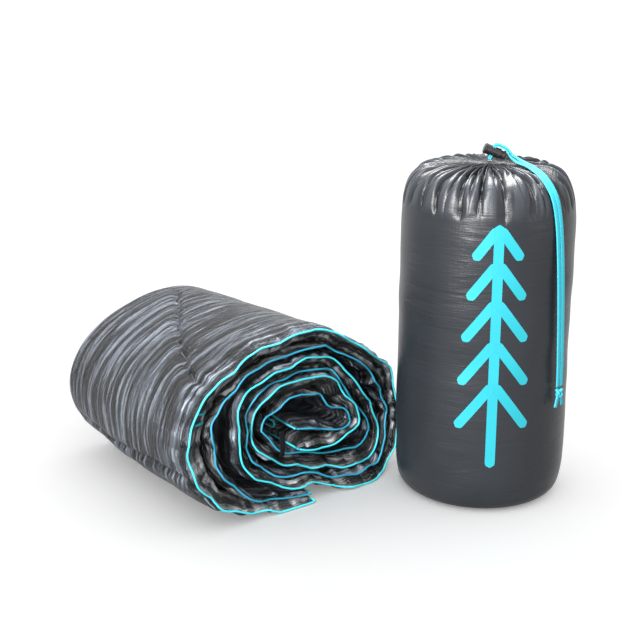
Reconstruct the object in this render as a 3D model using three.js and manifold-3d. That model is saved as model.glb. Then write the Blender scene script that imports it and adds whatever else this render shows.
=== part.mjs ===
// A quilted camp blanket, folded in four and rolled up, beside its full drawstring stuff sack.
// Millimetres, +Z up. The roll lies along Y with its piped end towards -Y, and the sack stands to its right.
import * as THREE from "three";
import { mergeVertices } from "three/addons/utils/BufferGeometryUtils.js";
import Module from "manifold-3d";

const wasm = await Module();
wasm.setup();

// ---- Driving dimensions ----
const GAP = 0.3; // between pieces that touch
const ROLL_LENGTH = 292; // the blanket's width, folded in four
const LEAVES = 4;
const LEAF_PITCH = 8; // from leaf to leaf where the roll is loose
const LEAF_FILL = 0.86; // share of the pitch that the quilt takes up
const FABRIC = 0.4; // each cover
const TURN_CLEARANCE = 2.6; // between one turn of the roll and the next
const FRONT_FOLD_SETBACK = 26; // the fold of leaves 2 and 3 lies this far behind the piped edges
const INNER_EDGE_SETBACK = 8; // the piped edge of leaf 4 lies behind that of leaf 1
const FRONT_LEAN = 20; // the foot of the rolled end stands forward of its top
const SIDE_SETBACK = 9; // the rolled end's right side lies back, beside the sack
const CORE_SETBACK = 16; // the core lies back in the rolled end
const TAPER = 0.06; // the roll narrows towards its far end
const PIPING = 3;

const LABEL = [7, 32, 1.6]; // black webbing tab at the core: wide, tall, thick
const LABEL_AT = [-43, -7, 80]; // its middle

const SACK_AT = [197, -90]; // the sack's axis, from the middle of the roll's front end
const VIEW_TURN = 37; // degrees; the sack's front faces this far round from -Y towards -X
const SACK_CLOTH = 0.8;
const BASE_RADIUS = 82;
const CONTENTS_GAP = 1.2;
const GATHERS = 18;
const GATHER_DEPTH = 1.6;
const HEM_RADIUS = 10;
const HEM_BOTTOM = 394.6;
const HEM_TOP = 402.4;
const HEM_CLOTH = 0.5;
const SLOT_ANGLE = 256; // degrees round the mouth where the cord leaves the hem
const SLOT_WIDTH = 9;

const CORD_WIDTH = 6;
const CORD_THICK = 1.6;
const CORD_GAP = 0.4; // between the two runs of cord
const LOCK_AT = [1.8, -10, 413.54]; // where the cords pass through the lock, from the sack's axis
const LOCK_TILT = 22; // degrees; the button end hangs lower
const LOCK_RADIUS = 6.2;
const LOCK_BORE = 5.1;
const LOCK_ENDS = [-11, 8.5]; // along the lock's axis, from the cords
const LOCK_END_WALL = 1.3;
const PLUNGER_RADIUS = 4.8;
const PLUNGER_FOOT = -4.3;
const BUTTON_TRAVEL = 3.5;
const CORD_OPENING = [2.3, 3.4]; // half sizes along the lock's axis and across it
const SPRING_WIRE = 0.6;
const SPRING_TURNS = 3;
const KNOT_AT = [81.2, -75.4, 143];

// The outer leaf's line in the roll's end view, from the free end under the roll to the core: x, z.
const ROLL_LINE = [
  [-6, 2.6], [-44, 3.4], [-98, 13], [-140, 36], [-167, 70], [-172, 108], [-156, 147], [-122, 177],
  [-78, 197], [-30, 208], [16, 206], [56, 191], [93, 165], [125, 139], [142, 107], [148, 68],
  [141, 31], [116, 6], [82, 3.2], [50, 4.5], [20, 13], [-6, 23], [-30, 27], [-60, 36], [-87, 52],
  [-100, 72], [-104, 104], [-98, 134], [-72, 156], [-34, 168], [8, 171], [43, 164], [70, 138],
  [93, 104], [113, 74], [119, 50], [103, 31], [72, 26], [38, 31], [4, 40], [-32, 50], [-60, 68],
  [-76, 94], [-66, 122], [-38, 142], [0, 149], [37, 140], [62, 115], [79, 91], [82, 73], [62, 61],
  [28, 58], [-10, 65],
];

// Half section of the sack's outside: radius, height.
const SACK_PROFILE = [
  [BASE_RADIUS, 0], [91.5, 3], [97.4, 10], [100.4, 24], [102, 60], [102.6, 150], [102.4, 230],
  [101.8, 300], [100.8, 341], [98.2, 361], [92.3, 376], [81, 387], [65, 392.4], [44, 393.6],
  [24, 394], [7.4, 394.2],
];

// Middle line of the two runs of cord above the lock, from the sack's axis: x, y, z, and the
// direction of the cord's width in degrees from +x.
const CORD_LINE = [
  [5.66, -10, 420.7, 90], [8.1, -10.2, 420.7, 89], [12.1, -10.8, 419.1, 86], [16.7, -11.8, 416.9, 80],
  [20, -13, 413.5, 75], [22.2, -14.3, 409.8, 71], [25.8, -16, 406.6, 65], [30.3, -18.8, 403.8, 57],
  [34.6, -25.2, 402.2, 50],
  [39.4, -34.2, 401.3, 44], [44.2, -44, 399.2, 40], [49.2, -54.3, 396, 38], [54.5, -63, 390.2, 38],
  [60, -69.6, 381.6, 40], [63.8, -72.8, 373, 41], [67.4, -75, 359, 42], [70.4, -76.6, 339, 42],
  [74, -76.4, 300, 42], [77.8, -75.4, 240, 43], [80, -75, 190, 44], [80.8, -75, 166, 45],
  [81, -75.2, 150.4, 45],
];

// ---- Materials ----
const cloth = (name, color, roughness) =>
  Object.assign(new THREE.MeshStandardMaterial({ color, roughness, metalness: 0 }), { name });
const GREY_NYLON = cloth("grey_nylon", 0x5c6067, 0.42);
const DARK_NYLON = cloth("dark_nylon", 0x2c2d31, 0.38);
const BATTING = cloth("batting", 0xe9eaec, 0.95);
const BLUE_TRIM = cloth("blue_trim", 0x3fd2e2, 0.6);
const BLACK_WEBBING = cloth("black_webbing", 0x16171a, 0.75);
const BLACK_PLASTIC = cloth("black_plastic", 0x111214, 0.45);
const SPRING_STEEL = new THREE.MeshStandardMaterial({ color: 0xb9bcc0, roughness: 0.3, metalness: 1 });

const blanket = new THREE.Group();
const model = new THREE.Group();

function addMesh(group, name, geometry, material) {
  const mesh = new THREE.Mesh(geometry, material);
  mesh.name = name;
  group.add(mesh);
  return mesh;
}

// ---- Solids ----
// A closed solid through rings of points, each ring a flat polygon with the same number of corners.
// Each side's diagonal runs the same way in space, so that layers side by side keep their gap.
function loft(rings, outlines) {
  const count = rings[0].length;
  const corners = rings.flat();
  const index = [];
  for (let i = 0; i + 1 < rings.length; i++)
    for (let k = 0; k < count; k++) {
      const a = i * count + k;
      const b = i * count + ((k + 1) % count);
      if (corners[a].y < corners[b].y) index.push(a, b, b + count, a, b + count, a + count);
      else index.push(a, b, a + count, b, b + count, a + count);
    }
  const first = THREE.ShapeUtils.triangulateShape(outlines[0], []);
  const last = THREE.ShapeUtils.triangulateShape(outlines[1], []);
  const start = (rings.length - 1) * count;
  for (const [a, b, c] of first) index.push(a, c, b);
  for (const [a, b, c] of last) index.push(start + a, start + b, start + c);
  const geometry = new THREE.BufferGeometry().setFromPoints(corners);
  geometry.setIndex(index);
  return facingOut(geometry);
}

// Turns every face round if the solid is inside out.
function facingOut(geometry) {
  const p = geometry.getAttribute("position");
  const index = geometry.index.array;
  const [a, b, c] = [0, 1, 2].map(() => new THREE.Vector3());
  let volume = 0;
  for (let i = 0; i < index.length; i += 3) {
    a.fromBufferAttribute(p, index[i]);
    b.fromBufferAttribute(p, index[i + 1]);
    c.fromBufferAttribute(p, index[i + 2]);
    volume += a.dot(b.cross(c));
  }
  if (volume < 0)
    for (let i = 0; i < index.length; i += 3) [index[i], index[i + 1]] = [index[i + 1], index[i]];
  return geometry;
}

function toSolid(geometry) {
  const bare = geometry.clone();
  bare.deleteAttribute("normal");
  bare.deleteAttribute("uv");
  const merged = mergeVertices(bare, 1e-3);
  return new wasm.Manifold(
    new wasm.Mesh({
      numProp: 3,
      vertProperties: merged.attributes.position.array,
      triVerts: new Uint32Array(merged.index.array),
    }),
  );
}

function toGeometry(solid) {
  const mesh = solid.getMesh();
  return new THREE.BufferGeometry()
    .setAttribute("position", new THREE.BufferAttribute(mesh.vertProperties, 3))
    .setIndex(new THREE.BufferAttribute(mesh.triVerts, 1));
}

// A solid of revolution about Z from a closed outline of [radius, height].
function turned(outline, segments) {
  const points = outline.map(([r, z]) => new THREE.Vector2(r, z));
  const closed = points[0].x > 0 || points.at(-1).x > 0 ? [...points, points[0].clone()] : points;
  const geometry = new THREE.LatheGeometry(closed, segments).rotateX(Math.PI / 2);
  geometry.deleteAttribute("normal");
  geometry.deleteAttribute("uv");
  return facingOut(mergeVertices(geometry, 1e-3));
}

// ---- The rolled blanket ----
const rollCurve = new THREE.CatmullRomCurve3(
  ROLL_LINE.map(([x, z]) => new THREE.Vector3(x, 0, z - 1.2)),
  false,
  "centripetal",
);
const FINE_STEPS = 800;
rollCurve.arcLengthDivisions = FINE_STEPS * 2;
const finePoints = rollCurve.getSpacedPoints(FINE_STEPS);
const rolledLength = rollCurve.getLength();
const fineStep = rolledLength / FINE_STEPS;
const inward = finePoints.map((_, i) => {
  const before = finePoints[Math.max(i - 2, 0)];
  const after = finePoints[Math.min(i + 2, FINE_STEPS)];
  const along = after.clone().sub(before).normalize();
  return new THREE.Vector3(along.z, 0, -along.x);
});

// Free space inside the outer leaf at a fine point, up to the next turn, or to half way across the core.
const LOOK_AHEAD = 110; // millimetres along the line that belong to the same side of the roll
function roomInside(i) {
  const from = finePoints[i];
  let room = Infinity;
  for (let j = 0; j <= FINE_STEPS; j++) {
    if (Math.abs(j - i) * fineStep < LOOK_AHEAD) continue;
    const to = finePoints[j].clone().sub(from);
    const across = to.dot(inward[i]);
    if (across < 0.6 * to.length()) continue;
    const facing = inward[i].dot(inward[j]) < -0.2;
    room = Math.min(room, facing ? to.length() / 2 : to.length());
  }
  return room;
}
const fineRoom = finePoints.map((_, i) => roomInside(i));

// How tightly the line bends towards the core at a fine point, as a radius.
const BEND_SPAN = 6;
function bendRadius(i) {
  const [from, to] = [Math.max(i - BEND_SPAN, 0), Math.min(i + BEND_SPAN, FINE_STEPS)];
  return ((to - from) * fineStep) / Math.max(inward[from].angleTo(inward[to]), 1e-3);
}
const SMOOTH_OVER = Math.round(24 / fineStep);
const leastNear = (values, i) => Math.min(...values.slice(Math.max(0, i - SMOOTH_OVER), i + SMOOTH_OVER + 1));
const fineBend = finePoints.map((_, i) => 0.8 * bendRadius(i));
const depthLimit = finePoints.map((_, i) => Math.min(leastNear(fineRoom, i) - TURN_CLEARANCE, leastNear(fineBend, i)));
const pitchAt = depthLimit.map((limit) => Math.min(LEAF_PITCH, limit / LEAVES));
// Spare room lies between leaf 1 and leaf 2.
const slackAt = depthLimit.map((limit, i) => Math.max(0, limit - LEAVES * pitchAt[i]));

// Stations along the roll: a new one after each turn of 24 degrees or 56 mm.
const MAX_TURN = THREE.MathUtils.degToRad(24);
const MAX_STEP = 56;
const stations = [0];
for (let i = 1, turned = 0; i < FINE_STEPS; i++) {
  turned += inward[i].angleTo(inward[i - 1]);
  const far = (i - stations.at(-1)) * fineStep;
  if (turned > MAX_TURN || far > MAX_STEP) {
    stations.push(i);
    turned = 0;
  }
}
stations.push(FINE_STEPS);

// How far the piped end stands forward or back at fine point i, at a place in the end view.
function frontAt(i, x, z) {
  const side = THREE.MathUtils.smoothstep(x, 70, 160);
  const core = THREE.MathUtils.smoothstep(i / FINE_STEPS, 0.35, 0.85);
  return -FRONT_LEAN * (1 - z / 210) * (1 - side) + SIDE_SETBACK * side + CORE_SETBACK * core;
}

// A point of the roll: a fine point, a depth inside the outer leaf, and a distance from the front end.
function rollPoint(i, depth, back, ahead = 0) {
  const at = finePoints[i].clone().addScaledVector(inward[i], depth);
  at.x -= inward[i].z * ahead; // ahead runs along the line, for what lies past its two ends
  at.z += inward[i].x * ahead;
  const shrink = 1 - (TAPER * back) / ROLL_LENGTH;
  const y = back + frontAt(i, at.x, at.z) * (1 - back / ROLL_LENGTH);
  return new THREE.Vector3(at.x * shrink, y, at.z * shrink);
}

// The folded sheet's middle line at a station: [distance from the front, depth], with square folds.
function foldLine(i) {
  const p = pitchAt[i];
  const deep = [0, slackAt[i] + p, slackAt[i] + 2 * p, slackAt[i] + 3 * p];
  const back = ROLL_LENGTH;
  return [
    [0, deep[0]], [back, deep[0]], [back, deep[1]], [FRONT_FOLD_SETBACK, deep[1]],
    [FRONT_FOLD_SETBACK, deep[2]], [back, deep[2]], [back, deep[3]], [INNER_EDGE_SETBACK, deep[3]],
  ];
}

// The fold line moved sideways by a distance, towards the face side of the cloth.
function offsetLine(line, distance) {
  const sides = line.slice(1).map(([y, d], k) => {
    const [dy, dd] = [Math.sign(y - line[k][0]), Math.sign(d - line[k][1])];
    return [dd, -dy];
  });
  return line.map(([y, d], k) => {
    const before = sides[Math.max(k - 1, 0)];
    const after = sides[Math.min(k, sides.length - 1)];
    const both = k === 0 || k === line.length - 1 ? after : [before[0] + after[0], before[1] + after[1]];
    return [y + both[0] * distance, d + both[1] * distance];
  });
}

// One layer of the quilt all along the roll, between two distances from the quilt's middle.
function quiltLayer(name, material, from, to) {
  const rings = [];
  const outlines = [];
  for (const i of stations) {
    const half = (pitchAt[i] * LEAF_FILL) / 2;
    const line = foldLine(i);
    const outline = [...offsetLine(line, to(half)), ...offsetLine(line, from(half)).reverse()];
    rings.push(outline.map(([y, d]) => rollPoint(i, d, y)));
    outlines.push(outline.map(([y, d]) => new THREE.Vector2(y, d)));
  }
  addMesh(blanket, name, loft(rings, [outlines[0], outlines.at(-1)]), material);
}
quiltLayer("blanket_face_cover", GREY_NYLON, (half) => half - FABRIC, (half) => half);
quiltLayer("blanket_insulation", BATTING, (half) => FABRIC + GAP - half, (half) => half - FABRIC - GAP);
quiltLayer("blanket_lining", DARK_NYLON, (half) => -half, (half) => FABRIC - half);

// Piping along the two long edges, just in front of leaf 1 and leaf 4.
const PIPING_SIDES = 6;
function longEdgePiping(name, leaf, setback) {
  const rings = stations.map((i) => {
    const depth = leaf === 1 ? 0 : slackAt[i] + 3 * pitchAt[i];
    const radius = Math.min(PIPING / 2, pitchAt[i] * 0.46);
    return Array.from({ length: PIPING_SIDES }, (_, k) => {
      const a = (k * 2 * Math.PI) / PIPING_SIDES;
      const back = setback - GAP - PIPING / 2 + (PIPING / 2) * Math.cos(a);
      return rollPoint(i, depth + radius * Math.sin(a), back);
    });
  });
  const hexagon = Array.from({ length: PIPING_SIDES }, (_, k) => {
    const a = (k * 2 * Math.PI) / PIPING_SIDES;
    return new THREE.Vector2(Math.cos(a), Math.sin(a));
  });
  addMesh(blanket, name, loft(rings, [hexagon, hexagon]), BLUE_TRIM);
}
longEdgePiping("piping_outer_long_edge", 1, 0);
longEdgePiping("piping_inner_long_edge", LEAVES, INNER_EDGE_SETBACK);

// Piping along the two short edges, which follow the folds across the sheet.
function shortEdgePiping(name, i, ahead) {
  const half = Math.min(PIPING / 2, pitchAt[i] * 0.4);
  const outer = offsetLine(foldLine(i), half);
  const inner = offsetLine(foldLine(i), -half);
  const rings = outer.map(([y, d], k) => [
    rollPoint(i, d, y, ahead[0]),
    rollPoint(i, d, y, ahead[1]),
    rollPoint(i, inner[k][1], inner[k][0], ahead[1]),
    rollPoint(i, inner[k][1], inner[k][0], ahead[0]),
  ]);
  const square = [[0, 0], [1, 0], [1, 1], [0, 1]].map(([x, y]) => new THREE.Vector2(x, y));
  addMesh(blanket, name, loft(rings, [square, square]), BLUE_TRIM);
}
shortEdgePiping("piping_free_end", 0, [-GAP - PIPING, -GAP]);
shortEdgePiping("piping_core_end", FINE_STEPS, [GAP, GAP + PIPING]);

// The webbing tab sewn at the core corner.
const label = addMesh(blanket, "corner_label", new THREE.BoxGeometry(LABEL[0], LABEL[2], LABEL[1]), BLACK_WEBBING);
label.position.set(...LABEL_AT);

// ---- The stuff sack ----
const sack = new THREE.Group();
sack.position.set(...SACK_AT, 0);
sack.rotation.z = THREE.MathUtils.degToRad(-VIEW_TURN);
const SEGMENTS = 2 * GATHERS;

// The profile moved inwards, at right angles to itself.
function insetProfile(by) {
  return SACK_PROFILE.map(([r, z], k) => {
    const [r0, z0] = SACK_PROFILE[Math.max(k - 1, 0)];
    const [r1, z1] = SACK_PROFILE[Math.min(k + 1, SACK_PROFILE.length - 1)];
    const length = Math.hypot(r1 - r0, z1 - z0);
    return [r - (by * (z1 - z0)) / length, k === 0 ? z + by : z + (by * (r1 - r0)) / length];
  });
}

// Lifts every other line of the crown, so that the cloth lies in gathers round the mouth.
function gathered(geometry) {
  const p = geometry.getAttribute("position");
  for (let i = 0; i < p.count; i++) {
    const [x, y, z] = [p.getX(i), p.getY(i), p.getZ(i)];
    const r = Math.hypot(x, y);
    const share = z < 340 ? 0 : THREE.MathUtils.smoothstep(r, 7, 30) * (1 - THREE.MathUtils.smoothstep(r, 72, 99));
    const line = Math.round((Math.atan2(y, x) * SEGMENTS) / (2 * Math.PI));
    p.setZ(i, z + share * GATHER_DEPTH * (line % 2 ? -1 : 1));
  }
  return geometry;
}
const wallOutline = [...SACK_PROFILE, ...insetProfile(SACK_CLOTH).reverse()];
const wall = addMesh(sack, "sack_wall", gathered(turned(wallOutline, SEGMENTS)), GREY_NYLON);

const baseOutline = [[0, 0], [BASE_RADIUS - 0.6, 0], [BASE_RADIUS - 0.6, SACK_CLOTH], [0, SACK_CLOTH]];
addMesh(sack, "sack_base_panel", turned(baseOutline, SEGMENTS), DARK_NYLON);

const fullness = insetProfile(SACK_CLOTH + CONTENTS_GAP)
  .filter(([r]) => r > 30)
  .map(([r, z]) => [r, z > 340 ? z - GATHER_DEPTH : z]);
const top = fullness.at(-1)[1];
addMesh(sack, "packed_blanket", turned([[0, fullness[0][1]], ...fullness, [0, top]], SEGMENTS), DARK_NYLON);

// The hem round the mouth is a channel for the cord, open at one slot.
const hemReach = CORD_THICK / 2 + 0.5;
const ring = (reach, bottom, above) => [
  [HEM_RADIUS - reach, bottom], [HEM_RADIUS + reach, bottom], [HEM_RADIUS + reach, above],
  [HEM_RADIUS - reach, above],
];
const hemSolid = toSolid(turned(ring(hemReach + HEM_CLOTH, HEM_BOTTOM, HEM_TOP), SEGMENTS));
const channel = toSolid(turned(ring(hemReach, HEM_BOTTOM + HEM_CLOTH, HEM_TOP - HEM_CLOTH), SEGMENTS));
const slotAngle = THREE.MathUtils.degToRad(SLOT_ANGLE);
const slot = new THREE.BoxGeometry(2 * hemReach, SLOT_WIDTH, 6).translate(HEM_RADIUS, 0, HEM_TOP).rotateZ(slotAngle);
addMesh(sack, "sack_hem_channel", toGeometry(hemSolid.subtract(channel).subtract(toSolid(slot))), GREY_NYLON);

// ---- The drawcord ----
// A flat cord with rounded edges along points, each with its width and thickness directions.
const CORD_SECTION = [[-3, -0.5], [-2.4, -1.2], [2.4, -1.2], [3, -0.5], [3, 0.5], [2.4, 1.2], [-2.4, 1.2], [-3, 0.5]];
const cordOutline = CORD_SECTION.map(([w, t]) => new THREE.Vector2(w, t));
function flatCord(name, stops) {
  const rings = stops.map(({ at, wide, thick }) =>
    CORD_SECTION.map(([w, t]) =>
      at
        .clone()
        .addScaledVector(wide, (w * CORD_WIDTH) / 6)
        .addScaledVector(thick, (t * CORD_THICK) / 2.4),
    ),
  );
  addMesh(sack, name, loft(rings, [cordOutline, cordOutline]), BLUE_TRIM);
}

const LOOP_STEPS = 20;
const loopGap = SLOT_WIDTH / 2 / HEM_RADIUS;
const loopStops = Array.from({ length: LOOP_STEPS + 1 }, (_, k) => {
  const a = slotAngle + loopGap + (k / LOOP_STEPS) * 2 * (Math.PI - loopGap);
  const out = new THREE.Vector3(Math.cos(a), Math.sin(a), 0);
  const at = out.clone().multiplyScalar(HEM_RADIUS).setZ((HEM_BOTTOM + HEM_TOP) / 2);
  return { at, wide: new THREE.Vector3(0, 0, 1), thick: out };
});
flatCord("drawcord_in_hem", loopStops);

// The runs pass straight through the lock one behind the other, then lie side by side.
const tilt = THREE.MathUtils.degToRad(LOCK_TILT);
const through = new THREE.Vector3(Math.sin(tilt), 0, Math.cos(tilt));
const lockAt = new THREE.Vector3(...LOCK_AT);
const STRAIGHT = [-10.1, -3, 3, 6.3]; // along the cords, from the middle of the lock
const cordPoints = [
  ...STRAIGHT.map((d) => ({ at: lockAt.clone().addScaledVector(through, d), turn: 90 })),
  ...CORD_LINE.map(([x, y, z, turn]) => ({ at: new THREE.Vector3(x, y, z), turn })),
];
const cordCurve = new THREE.CatmullRomCurve3(cordPoints.map((c) => c.at), false, "centripetal");
const STOPS_PER_PIECE = [1, 1, 1, 2, 2, 2, 2, 2, 2, 2, 2, 2, 2, 2, 2, 2, 3, 4, 4, 3, 2, 2];
function cordStops(side) {
  const pieces = cordPoints.length - 1;
  const stops = [];
  for (let piece = 0; piece < pieces; piece++) {
    const count = STOPS_PER_PIECE[piece] ?? 2;
    for (let k = 0; k < count; k++) stops.push(piece + k / count);
  }
  stops.push(pieces);
  return stops.map((s) => {
    const along = cordCurve.getTangent(s / pieces);
    const [from, to] = [cordPoints[Math.floor(s)], cordPoints[Math.min(Math.floor(s) + 1, pieces)]];
    const turn = THREE.MathUtils.degToRad(THREE.MathUtils.lerp(from.turn, to.turn, s % 1));
    const wide = new THREE.Vector3(Math.cos(turn), Math.sin(turn), 0);
    const thick = new THREE.Vector3().crossVectors(along, wide).normalize();
    wide.crossVectors(thick, along).normalize();
    const spread = THREE.MathUtils.smoothstep(s, 7.5, 10.5);
    const flat = THREE.MathUtils.smoothstep(s, 10.5, 13);
    const at = cordCurve
      .getPoint(s / pieces)
      .addScaledVector(thick, (side * (1 - flat) * (CORD_THICK + CORD_GAP)) / 2)
      .addScaledVector(wide, (side * spread * (CORD_WIDTH + CORD_GAP)) / 2);
    return { at, wide, thick };
  });
}
flatCord("drawcord_left", cordStops(-1));
flatCord("drawcord_right", cordStops(1));

const knotBall = toSolid(new THREE.IcosahedronGeometry(1, 2)).scale([7.6, 5.6, 6.2]);
const tails = [-1, 1].map((side) =>
  toSolid(new THREE.BoxGeometry(CORD_WIDTH, CORD_THICK, 17).translate(0, 0, -8.5))
    .rotate([0, side * -16, 0])
    .translate([side * 2.2, 0, 0]),
);
const knotTurn = 45;
const knot = knotBall.add(tails[0]).add(tails[1]).rotate([0, 0, knotTurn]).translate(KNOT_AT);
addMesh(sack, "drawcord_knot", toGeometry(knot), BLUE_TRIM);

// ---- The cord lock, along its own Z with the button at the +Z end ----
const lock = new THREE.Group();
lock.position.copy(lockAt);
lock.rotation.y = Math.PI / 2 + tilt;
sack.add(lock);
const opening = (from, to) => {
  const across = new THREE.BoxGeometry(4 * LOCK_RADIUS, 2 * CORD_OPENING[1], to - from);
  return toSolid(across.translate(0, 0, (from + to) / 2));
};

const [closedEnd, openEnd] = LOCK_ENDS;
const barrelOutline = [
  [0, closedEnd], [4.8, closedEnd], [LOCK_RADIUS, closedEnd + 1.2], [LOCK_RADIUS, closedEnd + 3],
  [LOCK_RADIUS - 0.3, closedEnd + 3.4], [LOCK_RADIUS - 0.3, openEnd - 1.9], [LOCK_RADIUS, openEnd - 1.5],
  [LOCK_RADIUS, openEnd], [LOCK_BORE, openEnd], [LOCK_BORE, closedEnd + LOCK_END_WALL],
  [0, closedEnd + LOCK_END_WALL],
];
const LOCK_SEGMENTS = 24;
const barrel = toSolid(turned(barrelOutline, LOCK_SEGMENTS));
const barrelOpening = opening(-CORD_OPENING[0], CORD_OPENING[0]);
addMesh(lock, "cord_lock_barrel", toGeometry(barrel.subtract(barrelOpening)), BLACK_PLASTIC);

const flange = openEnd + BUTTON_TRAVEL + 0.5;
const plungerOutline = [
  [0, PLUNGER_FOOT], [PLUNGER_RADIUS, PLUNGER_FOOT], [PLUNGER_RADIUS, flange], [5.5, flange],
  [5.9, flange + 0.5], [5.9, flange + 1.7], [4.7, flange + 2.7], [0, flange + 2.7],
];
const plunger = toSolid(turned(plungerOutline, LOCK_SEGMENTS));
const plungerOpening = opening(-CORD_OPENING[0], CORD_OPENING[0] + BUTTON_TRAVEL);
addMesh(lock, "cord_lock_plunger", toGeometry(plunger.subtract(plungerOpening)), BLACK_PLASTIC);

const springFrom = closedEnd + LOCK_END_WALL + GAP + SPRING_WIRE / 2;
const springTo = PLUNGER_FOOT - GAP - SPRING_WIRE / 2;
const coil = new THREE.CatmullRomCurve3(
  Array.from({ length: SPRING_TURNS * 12 + 1 }, (_, k) => {
    const a = (k * Math.PI) / 6;
    const z = THREE.MathUtils.lerp(springFrom, springTo, k / (SPRING_TURNS * 12));
    return new THREE.Vector3(3.7 * Math.cos(a), 3.7 * Math.sin(a), z);
  }),
);
const wire = new THREE.Shape().absarc(0, 0, SPRING_WIRE / 2, 0, 2 * Math.PI);
const springGeometry = new THREE.ExtrudeGeometry(wire, {
  extrudePath: coil,
  steps: SPRING_TURNS * 10,
  curveSegments: 3,
});
addMesh(lock, "cord_lock_spring", toGeometry(toSolid(springGeometry)), SPRING_STEEL);

// The origin is under the middle of the roll and the sack, without the cord and its lock.
model.add(blanket, sack);
model.updateMatrixWorld(true);
const middle = new THREE.Box3().setFromObject(blanket, true).expandByObject(wall, true).getCenter(new THREE.Vector3());
model.position.set(-middle.x, -middle.y, 0);

export default model;
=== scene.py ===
"""A quilted camp blanket, folded and rolled, beside its full stuff sack."""

import math

import bpy
import numpy as np
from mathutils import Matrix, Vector


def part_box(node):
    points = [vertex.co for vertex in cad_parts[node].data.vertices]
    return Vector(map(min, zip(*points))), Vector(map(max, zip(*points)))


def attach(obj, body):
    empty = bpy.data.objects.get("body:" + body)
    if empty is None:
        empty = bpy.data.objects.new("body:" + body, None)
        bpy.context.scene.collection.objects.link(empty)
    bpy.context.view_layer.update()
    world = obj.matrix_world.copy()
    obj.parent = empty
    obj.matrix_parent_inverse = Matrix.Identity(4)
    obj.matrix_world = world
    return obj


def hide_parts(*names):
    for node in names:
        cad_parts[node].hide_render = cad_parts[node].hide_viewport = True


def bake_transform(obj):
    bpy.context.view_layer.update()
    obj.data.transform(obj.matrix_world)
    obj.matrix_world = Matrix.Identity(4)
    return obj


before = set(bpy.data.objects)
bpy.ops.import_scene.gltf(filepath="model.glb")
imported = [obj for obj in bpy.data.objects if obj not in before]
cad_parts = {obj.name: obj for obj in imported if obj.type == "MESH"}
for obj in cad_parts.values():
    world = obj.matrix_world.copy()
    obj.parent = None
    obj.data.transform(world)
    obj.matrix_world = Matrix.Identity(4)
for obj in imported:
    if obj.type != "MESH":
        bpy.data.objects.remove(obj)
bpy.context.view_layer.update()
MM = 0.001

# ---- Places, in millimetres in the CAD's own layout, and how that layout sits in the part's frame ----
SACK_AT = (197, -90)  # the sack's axis, from the middle of the roll's front end
VIEW_TURN = math.radians(37)  # from the roll's axis to the direction of the view
wall_low, wall_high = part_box("sack_wall")
SACK_CENTRE = ((wall_low + wall_high) / 2) / MM
OFFSET = np.array([SACK_CENTRE.x - SACK_AT[0], SACK_CENTRE.y - SACK_AT[1], 0.0])

ROLL_LENGTH = 292
ROLL_HEIGHT = 210
LEAVES = 4  # the quilt is folded lengthwise into this many
LEAF_PITCH = 8  # from one leaf's middle to the next
TURN_CLEARANCE = 2.6  # between one turn of the roll and the next
FRONT_LEAN = 20  # the roll's foot comes forward of its top by this much
SIDE_SETBACK = 9  # the side by the sack lies this much further back
CORE_SETBACK = 16  # and so does the core
TAPER = 0.06  # the back end's share of shrinkage
# The outer leaf's line across and up, from its free end under the roll to the core.
ROLL_LINE = [
    (-6, 2.6), (-44, 3.4), (-98, 13), (-140, 36), (-167, 70), (-172, 108), (-156, 147), (-122, 177),
    (-78, 197), (-30, 208), (16, 206), (56, 191), (93, 165), (125, 139), (142, 107), (148, 68),
    (141, 31), (116, 6), (82, 3.2), (50, 4.5), (20, 13), (-6, 23), (-30, 27), (-60, 36), (-87, 52),
    (-100, 72), (-104, 104), (-98, 134), (-72, 156), (-34, 168), (8, 171), (43, 164), (70, 138),
    (93, 104), (113, 74), (119, 50), (103, 31), (72, 26), (38, 31), (4, 40), (-32, 50), (-60, 68),
    (-76, 94), (-66, 122), (-38, 142), (0, 149), (37, 140), (62, 115), (79, 91), (82, 73), (62, 61),
    (28, 58), (-10, 65),
]
SACK_RADIUS = 102  # of its wall, for measures round it
# The sack's radius and height, from the rim of its base to the drawn mouth.
SACK_PROFILE = [
    (82, 0), (91.5, 3), (97.4, 10), (100.4, 24), (102, 60), (102.6, 150), (102.4, 230),
    (101.8, 300), (101, 340), (98.6, 362), (93, 378), (82, 390), (66, 395.6), (46, 397.6), (26, 398.4),
    (14, 399.2), (9, 400.2), (6, 400.8), (4.2, 400),
]
LOCK_AT = np.array([1.8, -10, 413.54])  # where the cord goes through the lock, in the sack's axes
LOCK_TILT = math.radians(22)  # the button end hangs lower
# Where the cord goes from the lock to its knot, in the sack's axes, and where its width points, in degrees.
CORD_LINE = [
    (5.66, -10, 420.7, 90), (8.1, -10.2, 420.7, 89), (12.1, -10.8, 419.1, 86), (16.7, -11.8, 416.9, 80),
    (20, -13, 413.5, 75), (22.2, -14.3, 409.8, 71), (25.8, -16, 406.6, 65), (30.3, -18.8, 403.8, 57),
    (34.6, -25.2, 402.2, 50), (39.4, -34.2, 401.3, 44), (44.2, -44, 399.2, 40), (49.2, -54.3, 396, 38),
    (54.5, -63, 390.2, 38), (60, -69.6, 381.6, 40), (63.8, -72.8, 373, 41), (67.4, -75, 359, 42),
    (70.4, -76.6, 339, 42), (74, -76.4, 300, 42), (77.8, -75.4, 240, 43), (80, -75, 190, 44),
    (80.8, -75, 166, 45), (81, -75.2, 150.4, 45),
]
CORD_WIDTH = 6
CORD_THICK = 1.6
CORD_GAP = 0.4


# ---- Curves ----
def steps_along(points):
    """How far along a line each of its points lies."""
    return np.concatenate([[0], np.cumsum(np.linalg.norm(np.diff(points, axis=0), axis=1))])


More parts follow.
